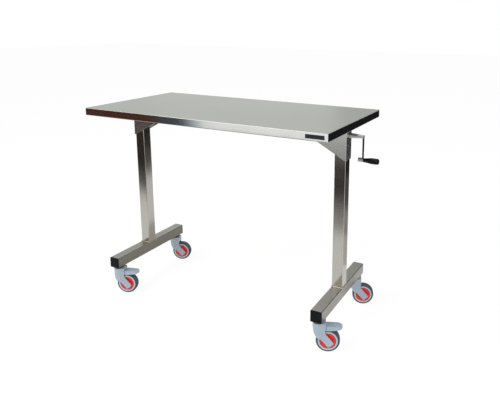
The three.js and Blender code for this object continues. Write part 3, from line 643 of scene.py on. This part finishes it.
def dress(piece: bpy.types.Object, finish: str) -> None:
    """Give a piece one finish all over."""
    piece.data.materials.clear()
    piece.data.materials.append(FINISHES[finish])


def seat(piece: bpy.types.Object, body: str, finish: str = "") -> None:
    """Dress a new piece, fasten it to a body and report it.

    Args:
        piece: The new piece.
        body: The body that it moves with.
        finish: The name of its finish, or nothing for a piece that is dressed already.
    """
    if finish:
        dress(piece, finish)
    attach(piece, body)
    LOG.info("%s rides on %s", piece.name, body)


@dataclass
class TableTop:
    """The folded steel pan, its core board and the bare plate on its rim."""

    sheet: float = 1.5 * MM
    lip: float = 20 * MM
    bend: float = 3 * MM
    bend_steps: int = 5
    satin_slope: float = 0.25
    plate_length: float = 78 * MM
    plate_height: float = 16 * MM
    plate_thickness: float = 0.8 * MM
    plate_from_corner: float = 13 * MM
    plate_corner: float = 2 * MM
    plate_corner_steps: int = 4
    plate_border: float = 1.2 * MM
    plate_recess: float = 0.25 * MM

    @staticmethod
    def from_side(point: Vector, low: Sequence[float], high: Sequence[float]) -> float:
        """Give a point's distance to the nearest of a box's four upright faces."""
        return min(abs(point[axis] - face[axis]) for axis in (0, 1) for face in (low, high))

    def pan(self) -> None:
        """Fold the pan: inset its underside for the lip, open it, round the bends and give it its wall."""
        low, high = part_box("tabletop_sheet")
        piece = Bench.block("tabletop_pan", low, high)
        Bench.pick(piece, "FACE", lambda face: face.normal.z < -FACING)
        bpy.ops.mesh.inset(thickness=self.sheet + self.lip)
        bpy.ops.mesh.delete(type="FACE")

        def is_bend(edge: bpy.types.MeshEdge) -> bool:
            """Say whether an edge lies on the pan's outer faces."""
            return all(self.from_side(point, low, high) < MM for point in Bench.ends(piece, edge))

        Bench.pick(piece, "EDGE", is_bend)
        bpy.ops.mesh.bevel(offset=self.bend, segments=self.bend_steps, affect="EDGES")
        bpy.ops.mesh.select_all(action="SELECT")
        bpy.ops.mesh.normals_make_consistent(inside=False)
        bpy.ops.object.mode_set(mode="OBJECT")
        wall = piece.modifiers.new("sheet", "SOLIDIFY")
        wall.thickness = self.sheet
        wall.offset = -1.0
        Bench.done(piece)
        for finish in ("satin_top", "polished_rim"):
            piece.data.materials.append(FINISHES[finish])
        for face in piece.data.polygons:
            face.material_index = 0 if abs(face.normal.z) > self.satin_slope else 1
        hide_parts("tabletop_sheet")
        seat(piece, "top")

    def plate(self) -> None:
        """Add the bare plate near the front right corner of the rim."""
        low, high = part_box("tabletop_sheet")
        right = high[0] - self.plate_from_corner
        middle = (low[2] + high[2]) / 2
        piece = Bench.block(
            "rim_plate",
            (right - self.plate_length, low[1] - self.plate_thickness, middle - self.plate_height / 2),
            (right, low[1], middle + self.plate_height / 2),
        )

        def is_corner(edge: bpy.types.MeshEdge) -> bool:
            """Say whether an edge runs through the plate's thickness."""
            a, b = Bench.ends(piece, edge)
            return abs(a.y - b.y) > self.plate_thickness / 2

        Bench.pick(piece, "EDGE", is_corner)
        bpy.ops.mesh.bevel(offset=self.plate_corner, segments=self.plate_corner_steps, affect="EDGES")
        Bench.pick(piece, "FACE", lambda face: face.normal.y < -FACING)
        bpy.ops.mesh.inset(thickness=self.plate_border)
        bpy.ops.transform.translate(value=(0, self.plate_recess, 0))
        bpy.ops.object.mode_set(mode="OBJECT")
        seat(Bench.done(piece), "top", "bare_plate")

    def build(self) -> None:
        """Make the pan and plate and dress the board."""
        self.pan()
        self.plate()
        dress(frame["nodes"]["core_board"], "core_board")


@dataclass
class Leg:
    """One leg: foot, column, bracket and the lift inside it."""

    side: str
    edge: float = 0.8 * MM
    column_edge: float = 0.4 * MM
    sharp: float = 40.0
    bend_slope: float = 0.2
    bead: float = 3 * MM
    bead_rounding: float = 0.85
    bead_steps: int = 5
    bracket_sheet: float = 3 * MM
    screw_head: float = 9 * MM
    screw_height: float = 3.06 * MM
    screw_dome: tuple[tuple[float, float], ...] = ((0.7, 0.95), (0.93, 0.65), (1.0, 0.2))
    screw_steps: int = 24
    socket_radius: float = 2.52 * MM
    socket_depth: float = 1.4 * MM
    screw_rows: tuple[float, float] = (0.16, 0.84)

    @property
    def body(self) -> str:
        """The body that the foot and column belong to."""
        return f"{self.side}_base"

    def tubes(self) -> None:
        """Round and dress the foot, its caps, the column and the bracket."""
        for part, edge, finish, slot, body in (
            ("foot_tube", self.edge, "foot_steel", "tube_steel", self.body),
            ("column_tube", self.column_edge, "column_steel", "tube_steel", self.body),
            ("foot_cap_front", self.edge, "black_cap", "black_plastic", self.body),
            ("foot_cap_rear", self.edge, "black_cap", "black_plastic", self.body),
            ("bracket", self.edge, "folded_bracket", "satin_steel", "top"),
        ):
            piece = Bench.refined(f"{self.side}_{part}", edge, sharp=self.sharp)
            seat(piece, body, finish)
            if part == "foot_tube":
                self.paint_shade_on_bends(piece)

    def paint_shade_on_bends(self, foot: bpy.types.Object) -> None:
        """Paint shade on the rounded long edges of a foot tube, as a darker copy of its steel.

        Args:
            foot: The foot tube, dressed all over.
        """
        # Painted shade: the rounded long edges get the darker copy of the steel
        foot.data.materials.append(FINISHES["foot_bend_painted_shade"])
        for face in foot.data.polygons:
            face.material_index = int(min(abs(face.normal.x), abs(face.normal.z)) > self.bend_slope)

    def weld(self) -> None:
        """Run a weld bead round the column where it stands on the foot."""
        low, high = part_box(f"{self.side}_column_tube")
        reach = self.bead
        piece = Bench.block(
            f"{self.side}_weld_bead",
            (low[0] - reach, low[1] - reach, FOOT_TOP),
            (high[0] + reach, high[1] + reach, FOOT_TOP + reach),
        )
        Bench.pick(piece, "FACE", lambda face: abs(face.normal.z) > FACING)
        bpy.ops.mesh.inset(thickness=reach)
        bpy.ops.mesh.bridge_edge_loops()
        middle = Vector(((low[0] + high[0]) / 2, (low[1] + high[1]) / 2, 0))
        half_reach = reach / 2
        half_way_out = (high[0] - low[0]) / 2 + half_reach

        def is_toe(edge: bpy.types.MeshEdge) -> bool:
            """Say whether an edge is on the bead's upper outer rim or at its corners.

            Args:
                edge: The edge to test.

            Returns:
                True for the edges that are rounded.
            """
            a, b = Bench.ends(piece, edge)
            outside = [max(abs(p.x - middle.x), abs(p.y - middle.y)) > half_way_out for p in (a, b)]
            upper = min(a.z, b.z) > FOOT_TOP + half_reach
            upright = abs(a.z - b.z) > half_reach
            return all(outside) and (upper or upright)

        Bench.pick(piece, "EDGE", is_toe)
        bpy.ops.mesh.bevel(offset=self.bead_rounding * reach, segments=self.bead_steps, affect="EDGES")
        bpy.ops.object.mode_set(mode="OBJECT")
        seat(Bench.done(piece), self.body, "weld_bead")

    def screw(self) -> bpy.types.Object:
        """Turn one pan-head screw with its socket.

        Returns:
            The screw's head, round the origin, with its flat side at zero.
        """
        radius, height = self.screw_head / 2, self.screw_height
        dome = [(share * radius, -rise * height) for share, rise in self.screw_dome]
        floor = self.socket_depth - height
        return Bench.turned(f"{self.side}_bracket_screw", [
            (0.0, floor), (self.socket_radius, floor), (self.socket_radius, -height),
            *dome, (radius, 0.0), (0.0, 0.0),
        ], self.screw_steps)

    def screws(self) -> None:
        """Put a pan-head screw in each corner of the bracket's flanges."""
        low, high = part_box(f"{self.side}_bracket")
        column_low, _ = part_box(f"{self.side}_column_tube")
        underside = high[2] - self.bracket_sheet
        first = self.screw()
        turn = Matrix.Rotation(math.radians(90), 4, "X")
        flange = (low[1] + column_low[1]) / 2
        places = [(share, across) for share in self.screw_rows for across in (flange, -flange)]
        for count, (share, across) in enumerate(places):
            x = low[0] + share * (high[0] - low[0])
            piece = Bench.copy(first, f"{self.side}_bracket_screw_{count}")
            Bench.move(piece, Matrix.Translation((x, across, underside)) @ turn)
            seat(piece, "top", "chrome")
        bpy.data.objects.remove(first)

    def inside(self) -> None:
        """Dress the pieces that show only when the table is raised."""
        for part, finish in (
            ("upper_glide", "glide_white"), ("lower_glide", "glide_white"), ("nut_post", "drive_steel"),
            ("lift_nut", "bronze"), ("inner_tube", "column_steel"), ("gear_housing", "cast_aluminium"),
            ("lift_screw", "chrome"), ("screw_gear", "drive_steel"), ("shaft_gear", "drive_steel"),
        ):
            dress(frame["nodes"][f"{self.side}_{part}"], finish)

    def build(self) -> None:
        """Make the whole leg."""
        self.tubes()
        self.weld()
        self.screws()
        self.inside()


@dataclass
class Crank:
    """The crank's arm, its turning grip and the shaft."""

    edge: float = 0.8 * MM
    edge_steps: int = 3
    bright_above_spindle: float = 6 * MM
    bright_below_shaft: float = 2 * MM
    neck: float = 8.5 * MM
    neck_bore_share: float = 0.5
    neck_rim_share: float = 0.9
    swell: float = 12.5 * MM
    swell_share: float = 0.62
    body_start: float = 0.04
    body_share: float = 0.86
    body_stations: int = 14
    blunt_end: tuple[tuple[float, float], ...] = ((0.96, 0.945), (0.84, 0.99), (0.72, 1.0), (0.0, 1.0))

    def grip_profile(self, length: float) -> Profile:
        """Draw the grip: a slim neck that soon swells to its full width, and a blunt chamfered end.

        Args:
            length: The grip's length, in metres.

        Returns:
            Its profile, as radius and place along the axis.
        """
        body = []
        for i in range(self.body_stations + 1):
            share = i / self.body_stations
            rise = min(share / self.swell_share, 1.0)
            ease = rise * rise * (3 - 2 * rise)
            radius = self.neck + (self.swell - self.neck) * ease
            body.append((radius, (self.body_start + self.body_share * share) * length))
        end = [(width * self.swell, along * length) for width, along in self.blunt_end]
        start = [(self.neck_bore_share * self.neck, 0.0), (self.neck_rim_share * self.neck, 0.0)]
        return [*start, *body, *end]

    def grip(self) -> None:
        """Turn the grip and set it on its spindle."""
        low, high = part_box("crank_grip")
        centre = Vector((low[0], (low[1] + high[1]) / 2, (low[2] + high[2]) / 2))
        piece = Bench.turned("crank_grip_turned", self.grip_profile(high[0] - low[0]))
        turn = Matrix.Rotation(math.radians(-90), 4, "Z")
        Bench.move(piece, Matrix.Translation(centre) @ turn)
        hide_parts("crank_grip")
        seat(piece, "grip", "grip_black")

    def arm(self) -> None:
        """Round the arm, in chrome at its hub and boss, with a darker copy of the chrome on the bar between
        them as a painted dark reflection.
        """
        piece = Bench.refined("crank_arm", self.edge, segments=self.edge_steps)
        seat(piece, "crank", "chrome")
        piece.data.materials.append(FINISHES["chrome_painted_dark_reflection"])
        shaft_low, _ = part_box("cross_shaft")
        _, spindle_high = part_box("grip_spindle")
        bar_low = spindle_high[2] + self.bright_above_spindle
        bar_high = shaft_low[2] - self.bright_below_shaft
        # Painted dark reflection: faces between the spindle's boss and the shaft's hub get the darker
        # chrome
        for face in piece.data.polygons:
            face.material_index = int(bar_low < face.center.z < bar_high)

    def build(self) -> None:
        """Make the arm and grip and dress the rest."""
        self.arm()
        self.grip()
        for node in ("cross_shaft", "grip_spindle"):
            dress(frame["nodes"][node], "chrome")


@dataclass
class Caster:
    """One swivel caster: stem, housing, wheel and, at the front, a brake pedal."""

    side: str
    end: str
    trail_angle: float = math.radians(22)
    half_width: float = 15 * MM
    tyre_radius: float = 50 * MM
    tyre_base: float = 41.5 * MM
    tyre_gap: float = 0.4 * MM
    tyre_shoulder: float = 7 * MM
    shoulder_steps: int = 6
    ring_gap: float = 0.2 * MM
    ring_proud: float = 0.3 * MM
    ring_step: float = 0.6 * MM
    ring_outer_chamfer: float = 0.8 * MM
    ring_inner_chamfer: float = 1.2 * MM
    disc_radius: float = 34.5 * MM
    disc_recess: float = 1.5 * MM
    disc_chamfer: float = 1.2 * MM
    dish_radii: tuple[float, float, float] = (25 * MM, 22 * MM, 13 * MM)
    dish_depth: float = 1.5 * MM
    hub_radii: tuple[float, float] = (11 * MM, 8 * MM)
    hub_proud: tuple[float, float] = (0.6 * MM, 0.9 * MM)
    bore_radius: float = 4.4 * MM
    housing_edge: float = 1.6 * MM
    pedal_edge: float = 1.2 * MM
    edge_steps: int = 3
    sharp: float = 38.0

    @property
    def name(self) -> str:
        """The caster's place on the table."""
        return f"{self.side}_{self.end}"

    def wheel_place(self) -> Matrix:
        """Give the place and turn of the wheel's axle.

        Returns:
            The matrix that puts a wheel, turned round the origin, on its axle.
        """
        low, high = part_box(f"{self.name}_wheel_axle")
        centre = Vector([(a + b) / 2 for a, b in zip(low, high)])
        return Matrix.Translation(centre) @ Matrix.Rotation(self.trail_angle, 4, "Z")

    @staticmethod
    def mirrored(half: Profile) -> Profile:
        """Close a profile by its mirror image across the middle of the wheel."""
        whole = [*half, *((radius, -along) for radius, along in reversed(half))]
        return [*whole, whole[0]]

    def tyre(self) -> Profile:
        """Draw the tyre, with a round shoulder on each side.

        Returns:
            Its profile, as radius and place along the axle.
        """
        flank = self.half_width - self.tyre_shoulder
        shoulder = []
        for i in range(self.shoulder_steps + 1):
            angle = math.radians(90 * i / self.shoulder_steps)
            radius = self.tyre_radius - self.tyre_shoulder * (1 - math.cos(angle))
            shoulder.append((radius, flank + self.tyre_shoulder * math.sin(angle)))
        base = self.tyre_base + self.tyre_gap
        return self.mirrored([(self.tyre_radius, 0.0), *shoulder, (base, self.half_width)])

    def ring(self) -> Profile:
        """Draw the ring between tyre and disc, a little proud and chamfered on both edges.

        Returns:
            Its profile, as radius and place along the axle.
        """
        outer, inner = self.tyre_base, self.disc_radius + self.ring_gap
        step, face = self.half_width - self.ring_step, self.half_width + self.ring_proud
        return self.mirrored([
            (outer, 0.0), (outer, step), (outer - self.ring_outer_chamfer, face),
            (inner + self.ring_inner_chamfer, face), (inner, step), (inner, 0.0),
        ])

    def disc(self) -> Profile:
        """Draw the disc: a flat rim, a shallow dish and a hub that stands proud.

        Returns:
            Its profile, as radius and place along the axle.
        """
        face = self.half_width - self.disc_recess
        dish = face - self.dish_depth
        lip, dish_outer, dish_inner = self.dish_radii
        hub_outer, hub_inner = self.hub_radii
        hub_low, hub_high = (self.half_width + proud for proud in self.hub_proud)
        return self.mirrored([
            (self.disc_radius, 0.0), (self.disc_radius, face - self.disc_chamfer),
            (self.disc_radius - self.disc_chamfer, face), (lip, face), (dish_outer, dish),
            (dish_inner, dish), (hub_outer, hub_low), (hub_inner, hub_high),
            (self.bore_radius, hub_high), (self.bore_radius, 0.0),
        ])

    def wheel(self) -> None:
        """Turn the tyre, the ring and the disc."""
        for part, profile, finish, slot in (
            ("tyre", self.tyre(), "tyre_rubber", "tyre"),
            ("wheel_ring", self.ring(), "ring_grey", "ring_plastic"),
            ("wheel_disc", self.disc(), "disc_red", "red_plastic"),
        ):
            piece = Bench.turned(f"{self.name}_{part}_turned", profile)
            Bench.move(piece, self.wheel_place())
            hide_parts(f"{self.name}_{part}")
            seat(piece, f"{self.name}_wheel", finish)

    def housing(self) -> None:
        """Round and dress the stem, the housing and the pedal."""
        moulded = [("caster_fork", self.housing_edge, "swivel")]
        if self.end == "front":
            moulded.append(("brake_pedal", self.pedal_edge, "pedal"))
        for part, edge, body in moulded:
            piece = Bench.refined(f"{self.name}_{part}", edge, self.edge_steps, self.sharp)
            seat(piece, f"{self.name}_{body}", "caster_grey")
        dress(frame["nodes"][f"{self.name}_caster_stem"], "caster_stem_steel")
        dress(frame["nodes"][f"{self.name}_wheel_axle"], "drive_steel")

    def build(self) -> None:
        """Make the whole caster."""
        self.wheel()
        self.housing()


@dataclass(frozen=True)
class Card:
    """A panel that shows only as a reflection in the steel."""

    name: str
    colour: Colour
    corners: tuple[Point, Point, Point, Point]

    @classmethod
    def flat(cls, name: str, colour: Colour, low: tuple[float, float], high: tuple[float, float]) -> "Card":
        """Describe a panel that lies just above the floor.

        Args:
            name: The panel's name.
            colour: What it adds to a reflection, in linear light.
            low: Its lowest corner in X and Y.
            high: Its highest corner in X and Y.

        Returns:
            The panel.
        """
        (left, near), (right, far) = low, high
        return cls(name, colour, ((left, near, CARD_LIFT), (right, near, CARD_LIFT),
                                  (right, far, CARD_LIFT), (left, far, CARD_LIFT)))

    @classmethod
    def upright(cls, name: str, colour: Colour, across: tuple[float, float], y: float,
                heights: tuple[float, float]) -> "Card":
        """Describe a panel that stands across the view.

        Args:
            name: The panel's name.
            colour: What it adds to a reflection, in linear light.
            across: Where it starts and ends in X.
            y: Where it stands.
            heights: Its lower and upper edge.

        Returns:
            The panel.
        """
        (start, end), (base, top) = across, heights
        return cls(name, colour, ((start, y, base), (end, y, base), (end, y, top), (start, y, top)))

    def build(self) -> None:
        """Hang the panel."""
        mesh = bpy.data.meshes.new(self.name)
        mesh.from_pydata(self.corners, [], [(0, 1, 2, 3)])
        panel = bpy.data.objects.new(self.name, mesh)
        bpy.context.collection.objects.link(panel)
        bench = MaterialBench(self.name)
        for title, value in (
            ("Base Color", (0.0, 0.0, 0.0, 1.0)), ("Roughness", 1.0), ("Specular IOR Level", 0.0),
            ("Emission Color", (*self.colour, 1.0)), ("Emission Strength", 1.0),
        ):
            bench.shader.inputs[title].default_value = value
        mesh.materials.append(bench.material)
        panel.visible_camera = False
        panel.visible_diffuse = False
        panel.visible_shadow = False
        panel.visible_transmission = False


@dataclass(frozen=True)
class Lamp:
    """A soft square lamp: where it hangs and points, its side in metres and its power in watts."""

    name: str
    place: Point
    target: Point
    size: float
    power: float

    def build(self) -> None:
        """Hang the lamp."""
        data = bpy.data.lights.new(self.name, "AREA")
        data.size = self.size
        data.energy = self.power
        lamp = bpy.data.objects.new(self.name, data)
        bpy.context.collection.objects.link(lamp)
        aim = (Vector(self.target) - Vector(self.place)).to_track_quat("-Z", "Y")
        lamp.matrix_world = Matrix.Translation(self.place) @ aim.to_matrix().to_4x4()


LAMPS = (
    Lamp("key_lamp", (-1.6, -2.4, 3.2), (0.0, 0.0, 0.6), 2.4, 70.0),
    Lamp("fill_lamp", (2.6, -1.6, 2.4), (0.0, 0.0, 0.5), 2.0, 25.0),
)

# The room as the steel reflects it: in front of the table, behind it, above its far side and under it
CARDS = (
    Card.flat("near_left_card", (0.12, 0.115, 0.11), (-6.0, -1.5), (-1.0, -1.1)),
    Card.flat("near_right_card", (0.38, 0.37, 0.36), (-1.0, -1.5), (3.0, -1.05)),
    Card.flat("dark_floor_card", (0.04, 0.035, 0.033), (-6.0, -3.0), (3.0, -1.5)),
    Card.upright("low_card", (0.04, 0.035, 0.033), (-2.03, 0.6), -3.0, (0.0, 0.14)),
    Card.upright("brown_card", (0.075, 0.028, 0.021), (-5.0, -2.6), -3.0, (0.0, 2.2)),
    Card.upright("blue_card", (0.055, 0.065, 0.08), (-2.6, -2.18), -3.0, (0.0, 0.9)),
    Card.upright("pale_card", (0.40, 0.45, 0.50), (-2.18, -2.03), -3.0, (0.0, 0.9)),
    Card.flat("rear_near_card", (0.62, 0.61, 0.60), (0.70, 0.55), (2.2, 0.95)),
    Card.flat("rear_middle_card", (0.38, 0.37, 0.36), (0.75, 0.95), (2.4, 1.4)),
    Card.flat("rear_floor_card", (0.10, 0.10, 0.10), (0.75, 1.4), (2.6, 2.2)),
    Card.upright("rear_card", (0.012, 0.012, 0.014), (0.75, 2.6), 2.2, (0.0, 0.9)),
    Card.upright("rear_high_card", (0.02, 0.02, 0.02), (1.45, 2.6), 2.2, (0.9, 1.5)),
    Card.upright("top_right_card", (0.58, 0.58, 0.57), (-0.75, 2.4), 3.0, (1.0, 1.95)),
    Card.upright("top_left_card", (0.84, 0.84, 0.83), (-6.0, -3.2), 3.0, (1.3, 2.1)),
    Card.flat("under_card", (0.56, 0.55, 0.53), (-0.52, -0.5), (-0.05, 0.7)),
    Card.flat("back_floor_card", (0.26, 0.26, 0.26), (-5.0, 1.8), (0.75, 3.6)),
    Card.flat("left_floor_card", (0.26, 0.26, 0.26), (-4.6, -1.0), (-2.1, 1.7)),
)


@dataclass
class Studio:
    """The camera at the photograph's viewing angle, the pale floor, the light and the reflected panels."""

    lens: float = 38.61
    sensor_width: float = 36.0
    shift: tuple[float, float] = (-0.10, -0.14)
    camera_place: Point = (1.28473, -2.03625, 1.34037)
    yaw: float = 0.45338
    pitch: float = 0.20845
    roll: float = 0.0080174
    floor_size: float = 40.0
    floor_colour: Colour = (0.88, 0.88, 0.88)
    backdrop_share: float = 0.80
    floor_glow: float = 1.09
    world_light: float = 0.62

    def camera(self) -> None:
        """Set up the camera."""
        data = bpy.data.cameras.new("camera")
        data.lens = self.lens
        data.sensor_width = self.sensor_width
        data.shift_x, data.shift_y = self.shift
        camera = bpy.data.objects.new("camera", data)
        bpy.context.collection.objects.link(camera)
        turn = (Matrix.Rotation(self.yaw, 4, "Z") @ Matrix.Rotation(math.pi / 2 - self.pitch, 4, "X")
                @ Matrix.Rotation(self.roll, 4, "Z"))
        camera.matrix_world = Matrix.Translation(self.camera_place) @ turn
        bpy.context.scene.camera = camera

    @staticmethod
    def seen_ray(tree: bpy.types.NodeTree) -> bpy.types.NodeSocket:
        """Make a mask of the rays in which the background is seen.

        Args:
            tree: The node tree to add it to.

        Returns:
            A value that is 1 for camera, glossy and transmission rays.
        """
        path = tree.nodes.new("ShaderNodeLightPath")
        total = path.outputs["Is Camera Ray"]
        for title in ("Is Glossy Ray", "Is Transmission Ray"):
            node = operation(tree, "MAXIMUM")
            tree.links.new(total, node.inputs[0])
            tree.links.new(path.outputs[title], node.inputs[1])
            total = node.outputs["Value"]
        return total

    def floor(self) -> None:
        """Lay the white floor, which keeps a soft shadow."""
        Bench.clear()
        bpy.ops.mesh.primitive_plane_add(size=self.floor_size)
        floor = bpy.context.object
        floor.name = "studio_floor"
        material = bpy.data.materials.new("studio_floor")
        material.use_nodes = True
        tree = material.node_tree
        tree.nodes.clear()
        paint = tree.nodes.new("ShaderNodeBsdfDiffuse")
        paint.inputs["Color"].default_value = (*self.floor_colour, 1.0)
        glow = tree.nodes.new("ShaderNodeEmission")
        glow.inputs["Strength"].default_value = self.floor_glow
        share = operation(tree, "MULTIPLY")
        share.inputs[1].default_value = self.backdrop_share
        tree.links.new(self.seen_ray(tree), share.inputs[0])
        mix = tree.nodes.new("ShaderNodeMixShader")
        result = tree.nodes.new("ShaderNodeOutputMaterial")
        tree.links.new(share.outputs["Value"], mix.inputs["Fac"])
        tree.links.new(paint.outputs["BSDF"], mix.inputs[1])
        tree.links.new(glow.outputs["Emission"], mix.inputs[2])
        tree.links.new(mix.outputs["Shader"], result.inputs["Surface"])
        floor.data.materials.append(material)

    def world(self) -> None:
        """Set a white world that lights at a plain level."""
        world = bpy.data.worlds.new("studio")
        world.use_nodes = True
        bpy.context.scene.world = world
        tree = world.node_tree
        background = tree.nodes["Background"]
        background.inputs["Color"].default_value = (1.0, 1.0, 1.0, 1.0)
        level = tree.nodes.new("ShaderNodeMapRange")
        level.inputs["To Min"].default_value = self.world_light
        level.inputs["To Max"].default_value = 1.0
        tree.links.new(self.seen_ray(tree), level.inputs["Value"])
        tree.links.new(level.outputs["Result"], background.inputs["Strength"])

    def build(self) -> None:
        """Set up the whole studio."""
        self.camera()
        self.floor()
        self.world()
        for fitting in (*LAMPS, *CARDS):
            fitting.build()


def main() -> None:
    """Build the studio and every part of the table."""
    logging.basicConfig(level=logging.INFO, format="%(name)s: %(message)s")
    bpy.context.scene.view_settings.view_transform = "Standard"
    Studio().build()
    TableTop().build()
    for side in SIDES:
        Leg(side).build()
    Crank().build()
    for side in SIDES:
        for end in ENDS:
            Caster(side, end).build()


if __name__ == "__main__":
    main()
